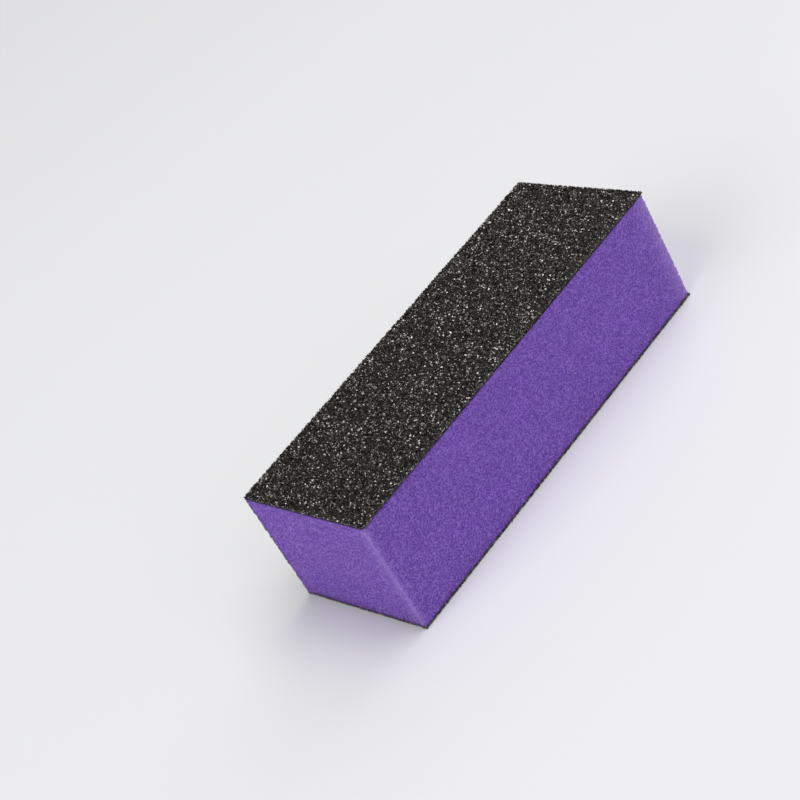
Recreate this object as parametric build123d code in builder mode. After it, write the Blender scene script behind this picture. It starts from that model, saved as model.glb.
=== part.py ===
from build123d import *
import os

# Three-sided nail buffer block. A bar of fine-celled polyurethane foam carries
# an abrasive coat on three of its four long faces. Each coat is a cured resin
# bed with a layer of silicon carbide grain standing on it. The fourth long
# face and both ends are bare foam, where the block was cut from its slab.
#
# Axes: X runs along the block, Y across it from the bare long face (-Y) to the
# rear coat (+Y), and Z is up. The origin is the centre of the footprint on the
# surface that the block lies on, so the lower grain layer stands on Z = 0.

# Driving dimensions, in millimetres
block_length = 95.0
foam_width = 33.4
foam_height = 26.8
bond_thickness = 0.2
grit_thickness = 0.4
cut_edge_radius = 0.5

# Levels, worked out from the driving dimensions
coat_thickness = bond_thickness + grit_thickness
block_width = foam_width + coat_thickness
foam_front = -block_width / 2
foam_rear = foam_front + foam_width
foam_bottom = coat_thickness
foam_top = foam_bottom + foam_height

# The rear coat is drawn on the foam's rear face and grows outwards, along +Y
rear_face = Plane(
    origin=(0, foam_rear, foam_bottom + foam_height / 2),
    x_dir=(1, 0, 0),
    z_dir=(0, 1, 0),
)

os.makedirs("parts", exist_ok=True)

# Foam bar. The two upright edges beside the bare face are the only ones that
# no coat holds square, so the cut foam relaxes to a small round there.
with BuildPart() as foam_core:
    with BuildSketch(Plane.XY.offset(foam_bottom)):
        with Locations((0, (foam_front + foam_rear) / 2)):
            Rectangle(block_length, foam_width)
    extrude(amount=foam_height)
    upright_edges = foam_core.edges().filter_by(Axis.Z)
    fillet(upright_edges.group_by(Axis.Y)[0], radius=cut_edge_radius)
foam_core.part.label = "foam_core"
export_step(foam_core.part, "parts/foam_core.step")

# Upper coat. Like the lower one it was laid over the full width of the slab,
# so it runs out over the rear coat's edge.
with BuildPart() as top_bond_coat:
    with BuildSketch(Plane.XY.offset(foam_top)):
        Rectangle(block_length, block_width)
    extrude(amount=bond_thickness)
top_bond_coat.part.label = "top_bond_coat"
export_step(top_bond_coat.part, "parts/top_bond_coat.step")

with BuildPart() as top_grit_layer:
    with BuildSketch(Plane.XY.offset(foam_top + bond_thickness)):
        Rectangle(block_length, block_width)
    extrude(amount=grit_thickness)
top_grit_layer.part.label = "top_grit_layer"
export_step(top_grit_layer.part, "parts/top_grit_layer.step")

# Lower coat, the mirror image of the upper one
with BuildPart() as bottom_bond_coat:
    with BuildSketch(Plane.XY.offset(foam_bottom)):
        Rectangle(block_length, block_width)
    extrude(amount=-bond_thickness)
bottom_bond_coat.part.label = "bottom_bond_coat"
export_step(bottom_bond_coat.part, "parts/bottom_bond_coat.step")

with BuildPart() as bottom_grit_layer:
    with BuildSketch(Plane.XY.offset(foam_bottom - bond_thickness)):
        Rectangle(block_length, block_width)
    extrude(amount=-grit_thickness)
bottom_grit_layer.part.label = "bottom_grit_layer"
export_step(bottom_grit_layer.part, "parts/bottom_grit_layer.step")

# Rear coat, only as high as the foam, between the upper and lower coats
with BuildPart() as rear_bond_coat:
    with BuildSketch(rear_face):
        Rectangle(block_length, foam_height)
    extrude(amount=bond_thickness)
rear_bond_coat.part.label = "rear_bond_coat"
export_step(rear_bond_coat.part, "parts/rear_bond_coat.step")

with BuildPart() as rear_grit_layer:
    with BuildSketch(rear_face.offset(bond_thickness)):
        Rectangle(block_length, foam_height)
    extrude(amount=grit_thickness)
rear_grit_layer.part.label = "rear_grit_layer"
export_step(rear_grit_layer.part, "parts/rear_grit_layer.step")
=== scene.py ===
import math
import random

import bmesh
import bpy
from mathutils import Euler, Matrix, Vector, noise


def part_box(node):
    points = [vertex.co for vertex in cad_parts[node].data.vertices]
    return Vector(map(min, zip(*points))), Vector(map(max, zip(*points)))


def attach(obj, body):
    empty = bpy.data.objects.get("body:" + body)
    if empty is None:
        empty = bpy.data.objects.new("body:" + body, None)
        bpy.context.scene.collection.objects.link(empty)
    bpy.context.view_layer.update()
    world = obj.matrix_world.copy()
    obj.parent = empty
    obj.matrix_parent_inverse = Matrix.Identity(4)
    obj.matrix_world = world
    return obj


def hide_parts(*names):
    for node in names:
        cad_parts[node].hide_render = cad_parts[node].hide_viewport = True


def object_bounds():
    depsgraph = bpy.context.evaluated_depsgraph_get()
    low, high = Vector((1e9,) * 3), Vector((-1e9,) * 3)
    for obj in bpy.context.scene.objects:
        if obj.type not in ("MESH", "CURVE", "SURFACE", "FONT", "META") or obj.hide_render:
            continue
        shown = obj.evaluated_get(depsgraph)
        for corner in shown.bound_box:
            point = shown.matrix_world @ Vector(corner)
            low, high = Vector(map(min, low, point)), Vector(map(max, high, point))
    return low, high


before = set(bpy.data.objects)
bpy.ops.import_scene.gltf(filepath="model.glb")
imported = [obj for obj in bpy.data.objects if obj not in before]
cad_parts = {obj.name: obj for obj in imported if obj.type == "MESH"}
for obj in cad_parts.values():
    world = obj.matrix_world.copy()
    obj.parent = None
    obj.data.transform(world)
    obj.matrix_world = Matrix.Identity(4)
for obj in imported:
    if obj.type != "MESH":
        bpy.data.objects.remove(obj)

bl_info = {
    "name": "Nail Buffer Block",
    "version": (1, 0, 0),
    "blender": (4, 5, 0),
    "location": "3D View > Sidebar > Nail Buffer",
    "description": "Foam bar, resin beds and abrasive grain of a three-sided nail buffer block",
    "category": "Add Mesh",
}

MM = 0.001
# Less than any real distance in the model
TINY = 1e-6
CAD_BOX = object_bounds()

# The three abrasive coats. Each has its own flat working frame: one axis along
# the block, one across the coat and one out of the foam.
COAT_AXES = {
    "top": (Vector((1, 0, 0)), Vector((0, 1, 0)), Vector((0, 0, 1))),
    "bottom": (Vector((1, 0, 0)), Vector((0, -1, 0)), Vector((0, 0, -1))),
    "rear": (Vector((-1, 0, 0)), Vector((0, 0, 1)), Vector((0, 1, 0))),
}


# ---------------------------------------------------------------- settings

class FoamSettings(bpy.types.PropertyGroup):
    # Deep and pale colours give the foam's random tone. The deep colour in the middle of each
    # cell is partly painted shade in the pores.
    colour: bpy.props.FloatVectorProperty(
        name="Deep foam colour",
        description="Colour inside the open cells of the cut foam",
        subtype="COLOR",
        size=3,
        min=0.0,
        max=1.0,
        default=(0.135, 0.046, 0.395),
    )
    pale_colour: bpy.props.FloatVectorProperty(
        name="Pale foam colour",
        description="Colour of the thin walls between the cells",
        subtype="COLOR",
        size=3,
        min=0.0,
        max=1.0,
        default=(0.330, 0.182, 0.665),
    )
    # Painted glow: this pale colour lightens the upright edges as if light came through the
    # thin foam, over the frayed walls there.
    fray_and_glow_colour: bpy.props.FloatVectorProperty(
        name="Frayed foam colour",
        description="Colour of the torn cell walls along the upright edges",
        subtype="COLOR",
        size=3,
        min=0.0,
        max=1.0,
        default=(0.500, 0.350, 0.800),
    )
    # Dark colour of the real resin soak beside the coats, also used as painted shade darkening
    # the ends towards the bottom.
    soaked_and_shaded_colour: bpy.props.FloatVectorProperty(
        name="Soaked foam colour",
        description="Colour of the foam that the black resin has soaked into",
        subtype="COLOR",
        size=3,
        min=0.0,
        max=1.0,
        default=(0.020, 0.012, 0.030),
    )
    mesh_pitch: bpy.props.FloatProperty(
        name="Mesh pitch",
        description="Distance between the vertices of the cut faces",
        unit="LENGTH",
        precision=6,
        min=0.1 * MM,
        default=0.225 * MM,
    )
    cell_size: bpy.props.FloatProperty(
        name="Cell size",
        description="Size of the larger cells opened by the cut",
        unit="LENGTH",
        precision=6,
        min=0.1 * MM,
        default=0.55 * MM,
    )
    cell_depth: bpy.props.FloatProperty(
        name="Cell depth",
        description="Depth of the opened cells under the cut face",
        unit="LENGTH",
        precision=6,
        min=0.0,
        default=0.07 * MM,
    )
    edge_radius: bpy.props.FloatProperty(
        name="Edge radius",
        description="Round of the two upright edges beside the bare long face",
        unit="LENGTH",
        precision=6,
        min=0.1 * MM,
        default=0.5 * MM,
    )
    seed: bpy.props.IntProperty(
        name="Seed",
        description="Seed of the foam's unevenness",
        default=11,
    )


class CoatSettings(bpy.types.PropertyGroup):
    resin_colour: bpy.props.FloatVectorProperty(
        name="Resin colour",
        description="Colour of the cured resin bed",
        subtype="COLOR",
        size=3,
        min=0.0,
        max=1.0,
        default=(0.0045, 0.0040, 0.0038),
    )
    film_colour: bpy.props.FloatVectorProperty(
        name="Filmed grain colour",
        description="Colour of a grain that the resin has covered",
        subtype="COLOR",
        size=3,
        min=0.0,
        max=1.0,
        default=(0.056, 0.047, 0.041),
    )
    crystal_colour: bpy.props.FloatVectorProperty(
        name="Clean grain colour",
        description="Colour of a clean broken crystal of silicon carbide",
        subtype="COLOR",
        size=3,
        min=0.0,
        max=1.0,
        default=(0.36, 0.335, 0.32),
    )
    grain_pitch: bpy.props.FloatProperty(
        name="Grain pitch",
        description="Mean distance between neighbouring grains",
        unit="LENGTH",
        precision=6,
        min=0.2 * MM,
        default=0.42 * MM,
    )
    grain_size: bpy.props.FloatProperty(
        name="Grain size",
        description="Mean size across one grain",
        unit="LENGTH",
        precision=6,
        min=0.1 * MM,
        default=0.60 * MM,
    )
    bed_pitch: bpy.props.FloatProperty(
        name="Bed pitch",
        description="Distance between the vertices of the resin bed",
        unit="LENGTH",
        precision=6,
        min=0.1 * MM,
        default=0.36 * MM,
    )
    edge_wear: bpy.props.FloatProperty(
        name="Edge wear",
        description="How far the blade and handling break the coat back along its edges",
        unit="LENGTH",
        precision=6,
        min=0.0,
        default=0.12 * MM,
    )
    seed: bpy.props.IntProperty(
        name="Seed",
        description="Seed of the grain's places and shapes",
        default=23,
    )


class StageSettings(bpy.types.PropertyGroup):
    floor_colour: bpy.props.FloatVectorProperty(
        name="Floor colour",
        description="Colour of the floor",
        subtype="COLOR",
        size=3,
        min=0.0,
        max=1.0,
        default=(0.87, 0.87, 0.88),
    )
    dome_strength: bpy.props.FloatProperty(
        name="Dome strength",
        description="Strength of the even light from all round",
        min=0.0,
        default=0.22,
    )
    key_power: bpy.props.FloatProperty(
        name="Key power",
        description="Power of the large soft box beyond the near end",
        subtype="POWER",
        min=0.0,
        default=52.0,
    )
    top_power: bpy.props.FloatProperty(
        name="Top power",
        description="Power of the soft box overhead",
        subtype="POWER",
        min=0.0,
        default=68.0,
    )
    fill_power: bpy.props.FloatProperty(
        name="Fill power",
        description="Power of the soft box in front of the bare long face",
        subtype="POWER",
        min=0.0,
        default=18.0,
    )
    rim_power: bpy.props.FloatProperty(
        name="Rim power",
        description="Power of the soft box beyond the far end",
        subtype="POWER",
        min=0.0,
        default=28.0,
    )
    lens: bpy.props.FloatProperty(
        name="Lens",
        description="Focal length on a 36 mm wide sensor, in millimetres",
        unit="CAMERA",
        min=10.0,
        default=91.51,
    )
    camera_distance: bpy.props.FloatProperty(
        name="Camera distance",
        description="Distance from the camera to the point it looks at",
        unit="LENGTH",
        default=407.5 * MM,
    )
    camera_azimuth: bpy.props.FloatProperty(
        name="Camera azimuth",
        description="Angle of the camera round the block from its bare long face",
        subtype="ANGLE",
        default=math.radians(-31.52),
    )
    camera_elevation: bpy.props.FloatProperty(
        name="Camera elevation",
        description="Angle of the camera above the floor",
        subtype="ANGLE",
        default=math.radians(33.28),
    )
    camera_roll: bpy.props.FloatProperty(
        name="Camera roll",
        description="Turn of the camera about its own axis",
        subtype="ANGLE",
        default=math.radians(31.03),
    )


# ---------------------------------------------------------------- helpers

def add_piece(name, bm, material, smooth):
    """Turn a bmesh into an object at the origin, with one material."""
    mesh = bpy.data.meshes.new(name)
    bm.to_mesh(mesh)
    bm.free()
    for face in mesh.polygons:
        face.use_smooth = smooth
    mesh.materials.append(material)
    piece = bpy.data.objects.new(name, mesh)
    bpy.context.scene.collection.objects.link(piece)
    return piece


def edges_along(bm, axis):
    """Edges that run straight along one axis: 0, 1 or 2."""
    chosen = []
    for edge in bm.edges:
        run = edge.verts[1].co - edge.verts[0].co
        if abs(run[axis]) > 0.999 * run.length:
            chosen.append(edge)
    return chosen


def cut_into(bm, edges, pitch):
    """Cut straight edges of one length into equal steps of about pitch."""
    steps = round(edges[0].calc_length() / pitch)
    bmesh.ops.subdivide_edges(bm, edges=edges, cuts=max(steps - 1, 0), use_grid_fill=True)


def close_holes(bm):
    """Fill each open rim with one flat face and cut that into triangles."""
    rims = [edge for edge in bm.edges if edge.is_boundary]
    made = bmesh.ops.holes_fill(bm, edges=rims, sides=0)
    bmesh.ops.triangulate(bm, faces=made["faces"], ngon_method="EAR_CLIP")


def uneven(point, size, shift=Vector()):
    """Smooth unevenness from -1 to 1, with bumps of about the given size."""
    return noise.noise(point / size + shift)


# ---------------------------------------------------------------- materials

def new_material(name):
    material = bpy.data.materials.new(name)
    material.use_nodes = True
    tree = material.node_tree
    tree.nodes.clear()
    shader = tree.nodes.new("ShaderNodeBsdfPrincipled")
    output = tree.nodes.new("ShaderNodeOutputMaterial")
    tree.links.new(shader.outputs["BSDF"], output.inputs["Surface"])
    return material, tree, shader


def add_math(tree, operation, *values):
    """Math node. Each value may be a socket or a plain number."""
    node = tree.nodes.new("ShaderNodeMath")
    node.operation = operation
    for socket, value in zip(node.inputs, values):
        if isinstance(value, bpy.types.NodeSocket):
            tree.links.new(value, socket)
        else:
            socket.default_value = value
    return node.outputs[0]


# How much the distance from a cell's middle and the cell's own level count in
# the speckle's height, against the clouds. The height's usual value gives the
# plain colour.
SPECKLE_DOME = 1.6
SPECKLE_LEVEL = 0.6
SPECKLE_USUAL = 0.85


def speckle_group():
    """Node group for the fine unevenness that foam, resin, grain and floor share."""
    found = bpy.data.node_groups.get("Speckle")
    if found:
        return found
    group = bpy.data.node_groups.new("Speckle", "ShaderNodeTree")
    interface = group.interface
    size = interface.new_socket("Size", in_out="INPUT", socket_type="NodeSocketFloat")
    size.default_value = 0.3 * MM
    amount = interface.new_socket("Amount", in_out="INPUT", socket_type="NodeSocketFloat")
    amount.default_value = 0.3
    interface.new_socket("Shade", in_out="OUTPUT", socket_type="NodeSocketFloat")
    interface.new_socket("Height", in_out="OUTPUT", socket_type="NodeSocketFloat")

    inputs = group.nodes.new("NodeGroupInput")
    outputs = group.nodes.new("NodeGroupOutput")
    place = group.nodes.new("ShaderNodeTexCoord")
    scale = add_math(group, "DIVIDE", 1.0, inputs.outputs["Size"])
    cells = group.nodes.new("ShaderNodeTexVoronoi")
    cells.feature = "F1"
    clouds = group.nodes.new("ShaderNodeTexNoise")
    clouds.inputs["Detail"].default_value = 3.0
    clouds.inputs["Roughness"].default_value = 0.65
    for texture in (cells, clouds):
        group.links.new(place.outputs["Object"], texture.inputs["Vector"])
        group.links.new(scale, texture.inputs["Scale"])

    domes = cells.outputs["Distance"]
    height = add_math(group, "MULTIPLY_ADD", domes, SPECKLE_DOME, clouds.outputs["Fac"])
    height = add_math(group, "MULTIPLY_ADD", cells.outputs["Color"], SPECKLE_LEVEL, height)
    height = add_math(group, "MULTIPLY", height, 0.5)
    above_usual = add_math(group, "SUBTRACT", height, SPECKLE_USUAL)
    shade = add_math(group, "MULTIPLY_ADD", above_usual, inputs.outputs["Amount"], 1.0)
    group.links.new(shade, outputs.inputs["Shade"])
    group.links.new(height, outputs.inputs["Height"])
    return group


def add_speckle(tree, size, amount=0.0):
    node = tree.nodes.new("ShaderNodeGroup")
    node.node_tree = speckle_group()
    node.inputs["Size"].default_value = size
    node.inputs["Amount"].default_value = amount
    return node


def add_attribute(tree, name):
    node = tree.nodes.new("ShaderNodeAttribute")
    node.attribute_type = "GEOMETRY"
    node.attribute_name = name
    return node.outputs["Fac"]


def add_mix(tree, mode, factor, first, second):
    """Mix two colours. Each may be a socket or a plain colour."""
    node = tree.nodes.new("ShaderNodeMix")
    node.data_type = "RGBA"
    node.blend_type = mode
    for name, value in (("Factor_Float", factor), ("A_Color", first), ("B_Color", second)):
        socket = next(s for s in node.inputs if s.identifier == name)
        if isinstance(value, bpy.types.NodeSocket):
            tree.links.new(value, socket)
        elif name == "Factor_Float":
            socket.default_value = value
        else:
            socket.default_value = (*value, 1.0)
    return next(s for s in node.outputs if s.identifier == "Result_Color")


def add_range(tree, value, low, high, to_low, to_high):
    """Carry a value between low and high over to one between to_low and to_high."""
    node = tree.nodes.new("ShaderNodeMapRange")
    node.inputs["From Min"].default_value = low
    node.inputs["From Max"].default_value = high
    node.inputs["To Min"].default_value = to_low
    node.inputs["To Max"].default_value = to_high
    tree.links.new(value, node.inputs["Value"])
    return node.outputs["Result"]


def add_bump(tree, height, distance, strength):
    node = tree.nodes.new("ShaderNodeBump")
    node.inputs["Strength"].default_value = strength
    node.inputs["Distance"].default_value = distance
    tree.links.new(height, node.inputs["Height"])
    return node.outputs["Normal"]


def foam_material(settings):
    """Matte purple foam: deep cells, paler walls, frayed edges and resin soaked in, with
    painted shade in the pores and up the ends and a painted glow on the upright edges.
    """
    material, tree, shader = new_material("Cut Foam")
    fine = add_speckle(tree, 0.36 * MM)
    broad = add_speckle(tree, 5.0 * MM, 0.12)
    # Deep colour in the middle of each cell and pale on the walls. This is partly the foam's
    # random tone and partly painted shade in the pores.
    walls = add_range(tree, fine.outputs["Height"], 0.62, 1.06, 0.0, 1.0)
    base = add_mix(tree, "MIX", walls, settings.colour, settings.pale_colour)
    base = add_mix(tree, "MULTIPLY", 1.0, base, broad.outputs["Shade"])
    # Painted shade: the deeper a place lies in its cell, the darker its colour.
    painted_pore_shade = add_range(tree, add_attribute(tree, "cell_depth"), 0.0, 1.0, 1.05, 0.82)
    base = add_mix(tree, "MULTIPLY", 1.0, base, painted_pore_shade)
    # Along the upright edges the colour is lightened towards the frayed colour. This is partly
    # frayed walls and partly a painted glow of light through the thin foam.
    frayed = add_range(tree, add_attribute(tree, "fray_and_glow"), 0.0, 1.0, 0.0, 0.7)
    base = add_mix(tree, "MIX", frayed, base, settings.fray_and_glow_colour)
    # Darker beside the coats: real resin soak, and painted shade further up the two ends.
    resin = add_range(tree, add_attribute(tree, "coat_soak_and_shade"), 0.0, 1.0, 0.0, 0.85)
    base = add_mix(tree, "MIX", resin, base, settings.soaked_and_shaded_colour)
    tree.links.new(base, shader.inputs["Base Color"])
    shader.inputs["Roughness"].default_value = 0.85
    shader.inputs["Specular IOR Level"].default_value = 0.25
    shader.inputs["Subsurface Weight"].default_value = 0.6
    shader.inputs["Subsurface Radius"].default_value = (1.0, 0.7, 1.5)
    shader.inputs["Subsurface Scale"].default_value = 0.8 * MM
    normal = add_bump(tree, fine.outputs["Height"], 0.06 * MM, 0.7)
    tree.links.new(normal, shader.inputs["Normal"])
    return material


def resin_material(settings):
    """Cured black resin: lumpy, half gloss."""
    material, tree, shader = new_material("Cured Resin")
    fine = add_speckle(tree, 0.3 * MM, 0.8)
    base = add_mix(tree, "MULTIPLY", 1.0, settings.resin_colour, fine.outputs["Shade"])
    tree.links.new(base, shader.inputs["Base Color"])
    rough = add_range(tree, fine.outputs["Height"], 0.5, 1.4, 0.45, 0.75)
    tree.links.new(rough, shader.inputs["Roughness"])
    shader.inputs["Specular IOR Level"].default_value = 0.35
    normal = add_bump(tree, fine.outputs["Height"], 0.05 * MM, 0.6)
    tree.links.new(normal, shader.inputs["Normal"])
    return material


def grain_material(settings):
    """Black silicon carbide: hard lustrous facets, some clean and some under resin."""
    material, tree, shader = new_material("Silicon Carbide Grain")
    clean = add_attribute(tree, "grain_clean")
    dust = add_speckle(tree, 0.12 * MM, 0.5)
    base = add_mix(tree, "MIX", clean, settings.film_colour, settings.crystal_colour)
    base = add_mix(tree, "MULTIPLY", 1.0, base, dust.outputs["Shade"])
    tree.links.new(base, shader.inputs["Base Color"])
    rough = add_range(tree, clean, 0.0, 1.0, 0.42, 0.14)
    tree.links.new(rough, shader.inputs["Roughness"])
    shader.inputs["Metallic"].default_value = 1.0
    return material


def floor_material(settings):
    """Pale smooth sheet with a faint gloss."""
    material, tree, shader = new_material("Pale Floor")
    broad = add_speckle(tree, 0.2, 0.01)
    base = add_mix(tree, "MULTIPLY", 1.0, settings.floor_colour, broad.outputs["Shade"])
    tree.links.new(base, shader.inputs["Base Color"])
    shader.inputs["Roughness"].default_value = 0.16
    return material


# ---------------------------------------------------------------- foam

# How fast an opened cell gets shallower away from its middle, and how much of
# a place's depth comes from its cell, the rest being chance
CELL_FALL = 1.6
CELL_SHARE = 0.75

# Broad hollows in the cut faces, as a share of the cells' depth
HOLLOW_SIZE = 3.5 * MM
HOLLOW_SHARE = 0.35

# The blade goes in at the near end and out at the far end, where it tears more.
# The tear runs further along an end than along the bare long face. It is
# stronger in patches, has finer rags in them, and its depth is a share of its
# reach.
# The tear's amount also lightens the foam's colour there as a painted glow, which is wider and
# stronger at the far end.
TEAR_REACH_IN = 0.45 * MM
TEAR_STRENGTH_IN = 0.75
TEAR_REACH_OUT = 1.6 * MM
TEAR_STRENGTH_OUT = 1.3
TEAR_ALONG_END = 2.5
TEAR_PATCH_SIZE = 0.8 * MM
TEAR_RAG_SIZE = 0.6 * MM
TEAR_DEPTH_SHARE = 0.2

# The resin soaks into the foam beside each coat, less beside the upper coat.
# Up the two ends from the lower coat it reaches further, and there the dark is
# painted shade, darker towards the bottom. It reaches further in some patches,
# and at least this share of its reach in the others.
SOAK_REACH = 0.3 * MM
SOAK_AT_TOP = 0.5
SOAK_AND_SHADE_ON_ENDS = 2.5
SOAK_PATCH_SIZE = 0.7 * MM
SOAK_LEAST = 0.2


def model_foam(settings):
    """Cut bar with a fine mesh on its bare faces and plain covered faces."""
    low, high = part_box("foam_core")
    size = high - low
    bm = bmesh.new()
    bmesh.ops.create_cube(bm, size=1.0)
    bmesh.ops.scale(bm, vec=size, verts=bm.verts)
    bmesh.ops.translate(bm, vec=(low + high) / 2, verts=bm.verts)

    beside_bare_face = [e for e in edges_along(bm, 2) if e.verts[0].co.y < (low.y + high.y) / 2]
    bmesh.ops.bevel(
        bm,
        geom=beside_bare_face,
        offset=settings.edge_radius,
        affect="EDGES",
        segments=3,
        profile=0.5,
        material=-1,
    )
    covered = [f for f in bm.faces if abs(f.normal.z) > 0.5]
    bmesh.ops.delete(bm, geom=covered, context="FACES_ONLY")

    bare_edges = [e for e in edges_along(bm, 0) if e.verts[0].co.y < (low.y + high.y) / 2]
    cut_into(bm, bare_edges, settings.mesh_pitch)
    end_edges = edges_along(bm, 1)
    cut_into(bm, end_edges, settings.mesh_pitch)
    cut_into(bm, edges_along(bm, 2), settings.mesh_pitch)
    close_holes(bm)
    bmesh.ops.recalc_face_normals(bm, faces=bm.faces)
    return bm, low, high


def outward_from(vert, low, high):
    """Level direction out of the cut face at this vertex, of no length inside the bar."""
    place = vert.co
    outward = Vector((vert.normal.x, vert.normal.y, 0.0))
    if place.z < low.z + TINY or place.z > high.z - TINY:
        outward = Vector((0.0, 0.0, 0.0))
        if place.y < low.y + TINY:
            outward.y = -1.0
        if abs(place.x) > (high.x - low.x) / 2 - TINY:
            outward.x = math.copysign(1.0, place.x)
    return outward


def torn(place, low, high, shift):
    """How far the foam is torn here, about 1 on the upright edges, and the tear's reach."""
    reach, strength = TEAR_REACH_IN, TEAR_STRENGTH_IN
    if place.x > 0:
        reach, strength = TEAR_REACH_OUT, TEAR_STRENGTH_OUT
    from_end = (high.x - low.x) / 2 - abs(place.x)
    from_edge = math.hypot(from_end, (place.y - low.y) / TEAR_ALONG_END)
    patchy = 1.0 + 0.5 * uneven(place, TEAR_PATCH_SIZE, shift)
    return patchy * strength * math.exp(-from_edge / reach), reach


def soaked(place, outward, low, high):
    """How full of resin the foam is here, 1 beside a coat, with painted shade up the two ends.
    """
    lower_reach = SOAK_AND_SHADE_ON_ENDS if abs(outward.x) > 0.7 else 1.0
    from_lower = (place.z - low.z) / lower_reach
    from_upper = (high.z - place.z) / SOAK_AT_TOP
    from_coat = min(from_lower, from_upper, high.y - place.y)
    patchy = 1.0 + 2.0 * uneven(place, SOAK_PATCH_SIZE)
    reach = SOAK_REACH * max(SOAK_LEAST, patchy)
    return math.exp(-from_coat / reach)


def open_the_cells(bm, low, high, settings):
    """Sink the cut faces into open cells, and fray the upright edges. Also keep marks for the
    painted shade and glow in the foam's colour.
    """
    rng = random.Random(settings.seed)
    shift = Vector((settings.seed, 0.0, 0.0))
    depth_mark = bm.verts.layers.float.new("cell_depth")
    fray_and_glow_mark = bm.verts.layers.float.new("fray_and_glow")
    soak_mark = bm.verts.layers.float.new("coat_soak_and_shade")
    bm.normal_update()
    for vert in bm.verts:
        outward = outward_from(vert, low, high)
        if vert.co.y > high.y - TINY or outward.length < TINY:
            continue
        outward.normalize()
        nearest = noise.voronoi(vert.co / settings.cell_size + shift)[0][0]
        cell = max(0.0, 1.0 - CELL_FALL * nearest)
        hollow = 0.5 + 0.5 * uneven(vert.co, HOLLOW_SIZE, shift)
        share = min(1.0, CELL_SHARE * cell + (1.0 - CELL_SHARE) * rng.random())
        frayed, tear_reach = torn(vert.co, low, high, shift)
        ragged = rng.random() + 2.0 * uneven(vert.co, TEAR_RAG_SIZE, -shift) ** 2
        depth = settings.cell_depth * (share + HOLLOW_SHARE * hollow)
        depth += TEAR_DEPTH_SHARE * tear_reach * frayed * ragged
        vert.co -= outward * depth
        # The cell's depth share is kept for the painted shade in the colour.
        vert[depth_mark] = share
        # The tear's amount is kept for the frayed walls and for the painted glow in the colour.
        vert[fray_and_glow_mark] = frayed
        # The soak mark holds both the resin soak and the painted shade up the ends.
        vert[soak_mark] = soaked(vert.co, outward, low, high)


class NAILBUFFER_OT_foam_bar(bpy.types.Operator):
    """Make the foam bar with its open cells and frayed upright edges"""

    bl_idname = "nailbuffer.foam_bar"
    bl_label = "Foam Bar"

    def execute(self, context):
        settings = context.scene.nailbuffer_foam
        bm, low, high = model_foam(settings)
        open_the_cells(bm, low, high, settings)
        bar = add_piece("foam_bar", bm, foam_material(settings), smooth=True)
        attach(bar, "root")
        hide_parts("foam_core")
        return {"FINISHED"}


# ---------------------------------------------------------------- coats

class CoatLayout:
    """Size and place of one coat, read from its two CAD nodes."""

    def __init__(self, side):
        along, across, outward = COAT_AXES[side]
        bed_low, bed_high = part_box(f"{side}_bond_coat")
        grain_low, grain_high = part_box(f"{side}_grit_layer")
        bed_size = bed_high - bed_low
        self.length = abs(bed_size.dot(along))
        self.width = abs(bed_size.dot(across))
        self.bed = abs(bed_size.dot(outward))
        self.grain = abs((grain_high - grain_low).dot(outward))
        origin = (bed_low + bed_high) / 2 - outward * self.bed / 2
        turn = Matrix((along, across, outward)).transposed()
        self.place = Matrix.Translation(origin) @ turn.to_4x4()


# Resin rises between the grains to this share of their layer, and is broken
# back this much further than they are along its edges.
RESIN_RISE = 0.3
RESIN_SET_BACK = 0.12 * MM

# Sizes of the lumps in the resin, and how much they count in its rise
LUMP_SIZES = (0.7 * MM, 0.3 * MM)
LUMP_SHARE = 0.35

# Faces that meet at a greater angle than this have a sharp edge between them
SHARP_EDGE = math.radians(40.0)

# The edge of a coat is finely uneven. Chips break out of it too, where a
# coarser unevenness, moved away from the fine one, passes a limit.
BREAK_SIZE = 0.45 * MM
CHIP_SIZE = 1.6 * MM
CHIP_SHIFT = Vector((7.0, 3.0, 1.0))
CHIP_LIMIT = 0.35
CHIP_DEPTH = 2.2

# Nicks keep the cut grains from being flush with one another: their depth,
# their size along the edge, and the usual share of that depth
CUT_NICK = 0.3 * MM
NICK_SIZE = 0.2 * MM
NICK_USUAL = 0.3

# No grain reaches nearer to the foam than this share of the resin bed
GRAIN_FOOT = 0.05


def edge_break(point, settings):
    """How far the coat is broken back at this place on its edge."""
    fine = 0.5 + 0.5 * uneven(point, BREAK_SIZE)
    chip = max(0.0, uneven(point + CHIP_SHIFT, CHIP_SIZE) - CHIP_LIMIT)
    return settings.edge_wear * (fine + CHIP_DEPTH * chip)


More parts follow.
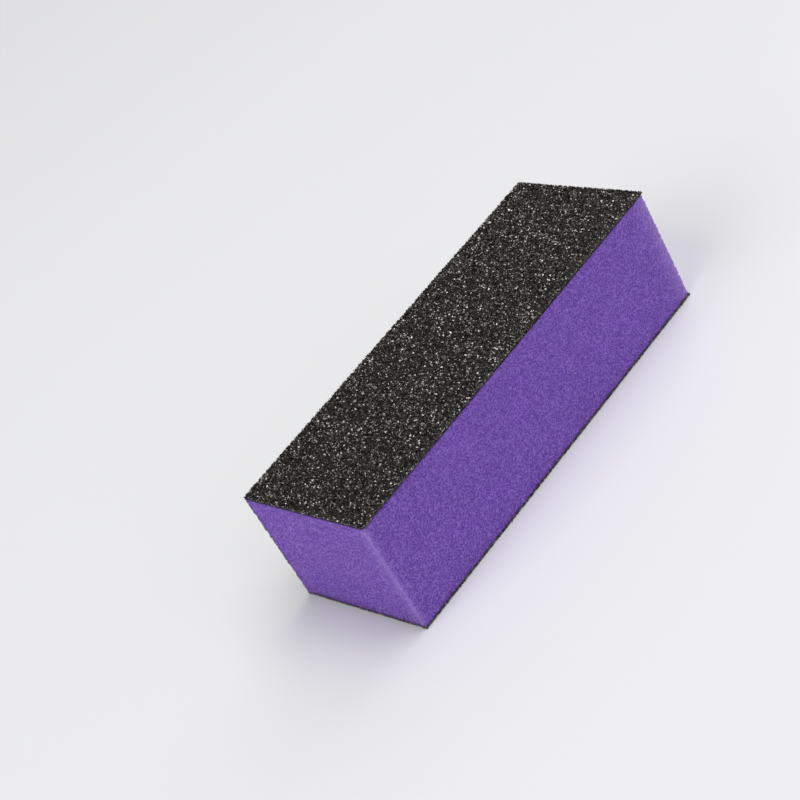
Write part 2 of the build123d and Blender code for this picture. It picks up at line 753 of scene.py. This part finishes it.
def model_resin_bed(layout, settings):
    """Closed sheet of resin with a lumpy outer face and broken edges."""
    bm = bmesh.new()
    bmesh.ops.create_grid(
        bm,
        x_segments=round(layout.length / settings.bed_pitch),
        y_segments=round(layout.width / settings.bed_pitch),
        size=0.5,
    )
    bmesh.ops.scale(bm, vec=(layout.length, layout.width, 1.0), verts=bm.verts)
    bmesh.ops.translate(bm, vec=(0.0, 0.0, layout.bed), verts=bm.verts)
    rim = [edge for edge in bm.edges if edge.is_boundary]
    skirt = bmesh.ops.extrude_edge_only(bm, edges=rim)
    foot = [item for item in skirt["geom"] if isinstance(item, bmesh.types.BMVert)]
    bmesh.ops.translate(bm, vec=(0.0, 0.0, -layout.bed), verts=foot)
    close_holes(bm)
    bmesh.ops.recalc_face_normals(bm, faces=bm.faces)

    for edge in bm.edges:
        edge.smooth = edge.calc_face_angle(0.0) < SHARP_EDGE
    for vert in bm.verts:
        flat = vert.co.copy()
        in_frame = layout.place @ flat
        if flat.z > layout.bed / 2:
            lumps = LUMP_SHARE * sum(uneven(in_frame, size) for size in LUMP_SIZES)
            vert.co.z = layout.bed + RESIN_RISE * layout.grain * max(0.0, 0.5 + lumps)
        broken = edge_break(in_frame, settings) + RESIN_SET_BACK
        if abs(flat.x) > layout.length / 2 - TINY:
            vert.co.x -= math.copysign(broken, flat.x)
        if abs(flat.y) > layout.width / 2 - TINY:
            vert.co.y -= math.copysign(broken, flat.y)
    bmesh.ops.transform(bm, matrix=layout.place, verts=bm.verts)
    return bm


# Shard shapes that every grain is chosen from, and how far apart the corners
# of one are at least, for a radius of one
SHARD_COUNT = 32
CORNER_GAP = 0.75


def shard_shapes(rng, count):
    """Angular closed shapes of six or seven corners, one unit in radius."""
    shapes = []
    for number in range(count):
        corners = []
        while len(corners) < 6 + number % 2:
            corner = Vector((rng.gauss(0, 1), rng.gauss(0, 1), rng.gauss(0, 1))).normalized()
            if all((corner - other).length > CORNER_GAP for other in corners):
                corners.append(corner)
        bm = bmesh.new()
        for corner in corners:
            bm.verts.new(corner)
        bmesh.ops.convex_hull(bm, input=bm.verts[:])
        bmesh.ops.recalc_face_normals(bm, faces=bm.faces)
        shape = bpy.data.meshes.new(f"shard_{number}")
        bm.to_mesh(shape)
        bm.free()
        shapes.append(shape)
    return shapes


# How far a grain strays from its grid point, as a share of the pitch
GRAIN_STRAY = 0.45

# Least and most of a grain's length, width and thickness: the length as a
# share of the mean size, and the other two as a share of the length
GRAIN_LENGTHS = (0.6, 1.3)
GRAIN_WIDTHS = (0.75, 1.0)
GRAIN_THICKNESSES = (0.7, 1.0)

# The greater the power that chance is raised to, the fewer grains are clean
# and the fewer have their tip well below the tallest
CLEAN_POWER = 1.8
TIP_POWER = 1.3
CUT_TIP_POWER = 2

# How much lower than the tallest grain a grain's tip may be, as a share of the
# layer's height, or of the whole coat's height for the grains cut by the blade
TIP_SPREAD = 0.6

# Each coat is edged by cut grains at this share of the grain pitch
CUT_PITCH = 0.5

# A little over one full turn, in radians
ANY_TURN = 6.3


def turned_grain(settings, rng, shapes, x, y, tip_height):
    """One grain of random shape, turn and size whose highest tip is at tip_height."""
    shape = rng.choice(shapes)
    turn = Euler([rng.uniform(0, ANY_TURN) for _ in range(3)])
    half_length = settings.grain_size / 2 * rng.uniform(*GRAIN_LENGTHS)
    half_width = half_length * rng.uniform(*GRAIN_WIDTHS)
    half_thickness = half_length * rng.uniform(*GRAIN_THICKNESSES)
    form = turn.to_matrix() @ Matrix.Diagonal((half_length, half_width, half_thickness))
    tip = max((form @ corner.co).z for corner in shape.vertices)
    place = Matrix.Translation((x, y, tip_height - tip)) @ form.to_4x4()
    clean = rng.random() ** CLEAN_POWER
    return shape, place, clean


def scatter_grains(layout, settings, rng, shapes):
    """Spread grains over the coat, and a close row of cut ones along its four edges."""
    columns = round(layout.length / settings.grain_pitch)
    rows = round(layout.width / settings.grain_pitch)
    step_x = layout.length / columns
    step_y = layout.width / rows
    grains = []
    for column in range(columns):
        for row in range(rows):
            x = (column + 0.5 + rng.uniform(-GRAIN_STRAY, GRAIN_STRAY)) * step_x
            y = (row + 0.5 + rng.uniform(-GRAIN_STRAY, GRAIN_STRAY)) * step_y
            x -= layout.length / 2
            y -= layout.width / 2
            drop = TIP_SPREAD * rng.random() ** TIP_POWER
            tip_height = layout.bed + layout.grain * (1.0 - drop)
            grains.append(turned_grain(settings, rng, shapes, x, y, tip_height))

    coat = layout.bed + layout.grain
    cut_pitch = CUT_PITCH * settings.grain_pitch
    for side in (-0.5, 0.5):
        for step in range(round(layout.length / cut_pitch)):
            x = (step + rng.random()) * cut_pitch - layout.length / 2
            y = side * (layout.width - settings.grain_pitch * rng.random())
            tip_height = coat * (1.0 - TIP_SPREAD * rng.random() ** CUT_TIP_POWER)
            grains.append(turned_grain(settings, rng, shapes, x, y, tip_height))
        for step in range(round(layout.width / cut_pitch)):
            x = side * (layout.length - settings.grain_pitch * rng.random())
            y = (step + rng.random()) * cut_pitch - layout.width / 2
            tip_height = coat * (1.0 - TIP_SPREAD * rng.random() ** CUT_TIP_POWER)
            grains.append(turned_grain(settings, rng, shapes, x, y, tip_height))
    return grains


def model_grain_layer(layout, settings, rng, shapes):
    """Stand every grain in its place, and cut the outer ones where the blade ran."""
    grains = scatter_grains(layout, settings, rng, shapes)
    bm = bmesh.new()
    clean_mark = bm.verts.layers.float.new("grain_clean")
    for shape, _, _ in grains:
        bm.from_mesh(shape)
    top = layout.bed + layout.grain
    corners = iter(bm.verts)
    for shape, place, clean in grains:
        centre = layout.place @ place.translation
        broken = edge_break(centre, settings) + (clean - 0.5) * settings.edge_wear
        reach_x = layout.length / 2 - max(0.0, broken)
        reach_y = layout.width / 2 - max(0.0, broken)
        for _ in shape.vertices:
            corner = next(corners)
            spot = place @ corner.co
            if abs(spot.x) > reach_x or abs(spot.y) > reach_y:
                nick = CUT_NICK * max(0.0, NICK_USUAL + uneven(spot + centre, NICK_SIZE))
                spot.x = min(max(spot.x, nick - reach_x), reach_x - nick)
                spot.y = min(max(spot.y, nick - reach_y), reach_y - nick)
            spot.z = min(max(spot.z, GRAIN_FOOT * layout.bed), top)
            corner.co = layout.place @ spot
            corner[clean_mark] = clean
    return bm


class NAILBUFFER_OT_resin_beds(bpy.types.Operator):
    """Make the three cured resin beds that hold the grain to the foam"""

    bl_idname = "nailbuffer.resin_beds"
    bl_label = "Resin Beds"

    def execute(self, context):
        settings = context.scene.nailbuffer_coat
        material = resin_material(settings)
        for side in COAT_AXES:
            bm = model_resin_bed(CoatLayout(side), settings)
            bed = add_piece(f"{side}_resin_bed", bm, material, smooth=True)
            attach(bed, "root")
            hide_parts(f"{side}_bond_coat")
        return {"FINISHED"}


class NAILBUFFER_OT_grain_layers(bpy.types.Operator):
    """Make the three layers of separate silicon carbide grains"""

    bl_idname = "nailbuffer.grain_layers"
    bl_label = "Grain Layers"

    def execute(self, context):
        settings = context.scene.nailbuffer_coat
        rng = random.Random(settings.seed)
        shapes = shard_shapes(rng, SHARD_COUNT)
        material = grain_material(settings)
        for side in COAT_AXES:
            bm = model_grain_layer(CoatLayout(side), settings, rng, shapes)
            layer = add_piece(f"{side}_grain", bm, material, smooth=False)
            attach(layer, "root")
            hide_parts(f"{side}_grit_layer")
        for shape in shapes:
            bpy.data.meshes.remove(shape)
        return {"FINISHED"}


# ---------------------------------------------------------------- stage

FLOOR_REACH = 3.0
DOME_COLOUR = (0.98, 0.99, 1.0, 1.0)
SOFT_BOX_SIZE = 2.7
SOFT_BOX_DISTANCE = 3.6
SENSOR_WIDTH = 36.0

# The point that the camera looks at, from the middle of the block
AIM_OFFSET = Vector((-9.67, 10.64, 4.98)) * MM


def direction(azimuth, elevation):
    """Unit vector out from the block, measured round from its bare long face."""
    flat = math.cos(elevation)
    return Vector((math.sin(azimuth) * flat, -math.cos(azimuth) * flat, math.sin(elevation)))


def aim(holder, back, roll=0.0):
    """Turn a lamp or camera so that it looks along -back, rolled about that line."""
    level = Vector((0.0, 0.0, 1.0)).cross(back).normalized()
    rise = back.cross(level)
    right = level * math.cos(roll) - rise * math.sin(roll)
    up = level * math.sin(roll) + rise * math.cos(roll)
    turn = Matrix((right, up, back)).transposed().to_4x4()
    holder.matrix_world = Matrix.Translation(holder.location) @ turn


def add_soft_box(name, target, azimuth, elevation, power):
    lamp = bpy.data.lights.new(name, "AREA")
    lamp.shape = "SQUARE"
    lamp.size = SOFT_BOX_SIZE
    lamp.energy = power
    holder = bpy.data.objects.new(name, lamp)
    bpy.context.scene.collection.objects.link(holder)
    out = direction(math.radians(azimuth), math.radians(elevation))
    holder.location = target + out * SOFT_BOX_DISTANCE
    aim(holder, out)


class NAILBUFFER_OT_stage(bpy.types.Operator):
    """Set the pale floor, the soft studio light and the camera"""

    bl_idname = "nailbuffer.stage"
    bl_label = "Stage"

    def execute(self, context):
        settings = context.scene.nailbuffer_stage
        scene = context.scene
        low, high = CAD_BOX
        middle = (low + high) / 2

        bm = bmesh.new()
        bmesh.ops.create_grid(bm, x_segments=1, y_segments=1, size=FLOOR_REACH)
        bmesh.ops.translate(bm, vec=(0.0, 0.0, low.z), verts=bm.verts)
        add_piece("floor", bm, floor_material(settings), smooth=False)

        world = bpy.data.worlds.new("Soft Dome")
        world.use_nodes = True
        sky = world.node_tree.nodes["Background"]
        sky.inputs["Color"].default_value = DOME_COLOUR
        sky.inputs["Strength"].default_value = settings.dome_strength
        scene.world = world
        # Each soft box has its azimuth round the block and its elevation in degrees
        add_soft_box("key_light", middle, -90.0, 42.0, settings.key_power)
        add_soft_box("top_light", middle, 60.0, 70.0, settings.top_power)
        add_soft_box("fill_light", middle, 10.0, 35.0, settings.fill_power)
        add_soft_box("rim_light", middle, 105.0, 32.0, settings.rim_power)

        lens = bpy.data.cameras.new("camera")
        lens.sensor_width = SENSOR_WIDTH
        lens.lens = settings.lens
        lens.clip_start = 0.01
        lens.clip_end = 20.0
        camera = bpy.data.objects.new("camera", lens)
        scene.collection.objects.link(camera)
        back = direction(settings.camera_azimuth, settings.camera_elevation)
        camera.location = middle + AIM_OFFSET + back * settings.camera_distance
        aim(camera, back, settings.camera_roll)
        scene.camera = camera
        scene.view_settings.view_transform = "Standard"
        return {"FINISHED"}


class NAILBUFFER_PT_panel(bpy.types.Panel):
    bl_label = "Nail Buffer Block"
    bl_idname = "NAILBUFFER_PT_panel"
    bl_space_type = "VIEW_3D"
    bl_region_type = "UI"
    bl_category = "Nail Buffer"

    def draw(self, context):
        column = self.layout.column()
        for operator in OPERATORS:
            column.operator(operator.bl_idname)
        for group in ("nailbuffer_foam", "nailbuffer_coat", "nailbuffer_stage"):
            settings = getattr(context.scene, group)
            box = self.layout.box()
            for name in settings.__annotations__:
                box.prop(settings, name)


OPERATORS = (
    NAILBUFFER_OT_foam_bar,
    NAILBUFFER_OT_resin_beds,
    NAILBUFFER_OT_grain_layers,
    NAILBUFFER_OT_stage,
)
CLASSES = (FoamSettings, CoatSettings, StageSettings, *OPERATORS, NAILBUFFER_PT_panel)


def register():
    for kind in CLASSES:
        bpy.utils.register_class(kind)
    bpy.types.Scene.nailbuffer_foam = bpy.props.PointerProperty(type=FoamSettings)
    bpy.types.Scene.nailbuffer_coat = bpy.props.PointerProperty(type=CoatSettings)
    bpy.types.Scene.nailbuffer_stage = bpy.props.PointerProperty(type=StageSettings)


def unregister():
    del bpy.types.Scene.nailbuffer_stage
    del bpy.types.Scene.nailbuffer_coat
    del bpy.types.Scene.nailbuffer_foam
    for kind in reversed(CLASSES):
        bpy.utils.unregister_class(kind)


def main():
    register()
    bpy.ops.nailbuffer.foam_bar()
    bpy.ops.nailbuffer.resin_beds()
    bpy.ops.nailbuffer.grain_layers()
    bpy.ops.nailbuffer.stage()


if __name__ == "__main__":
    main()
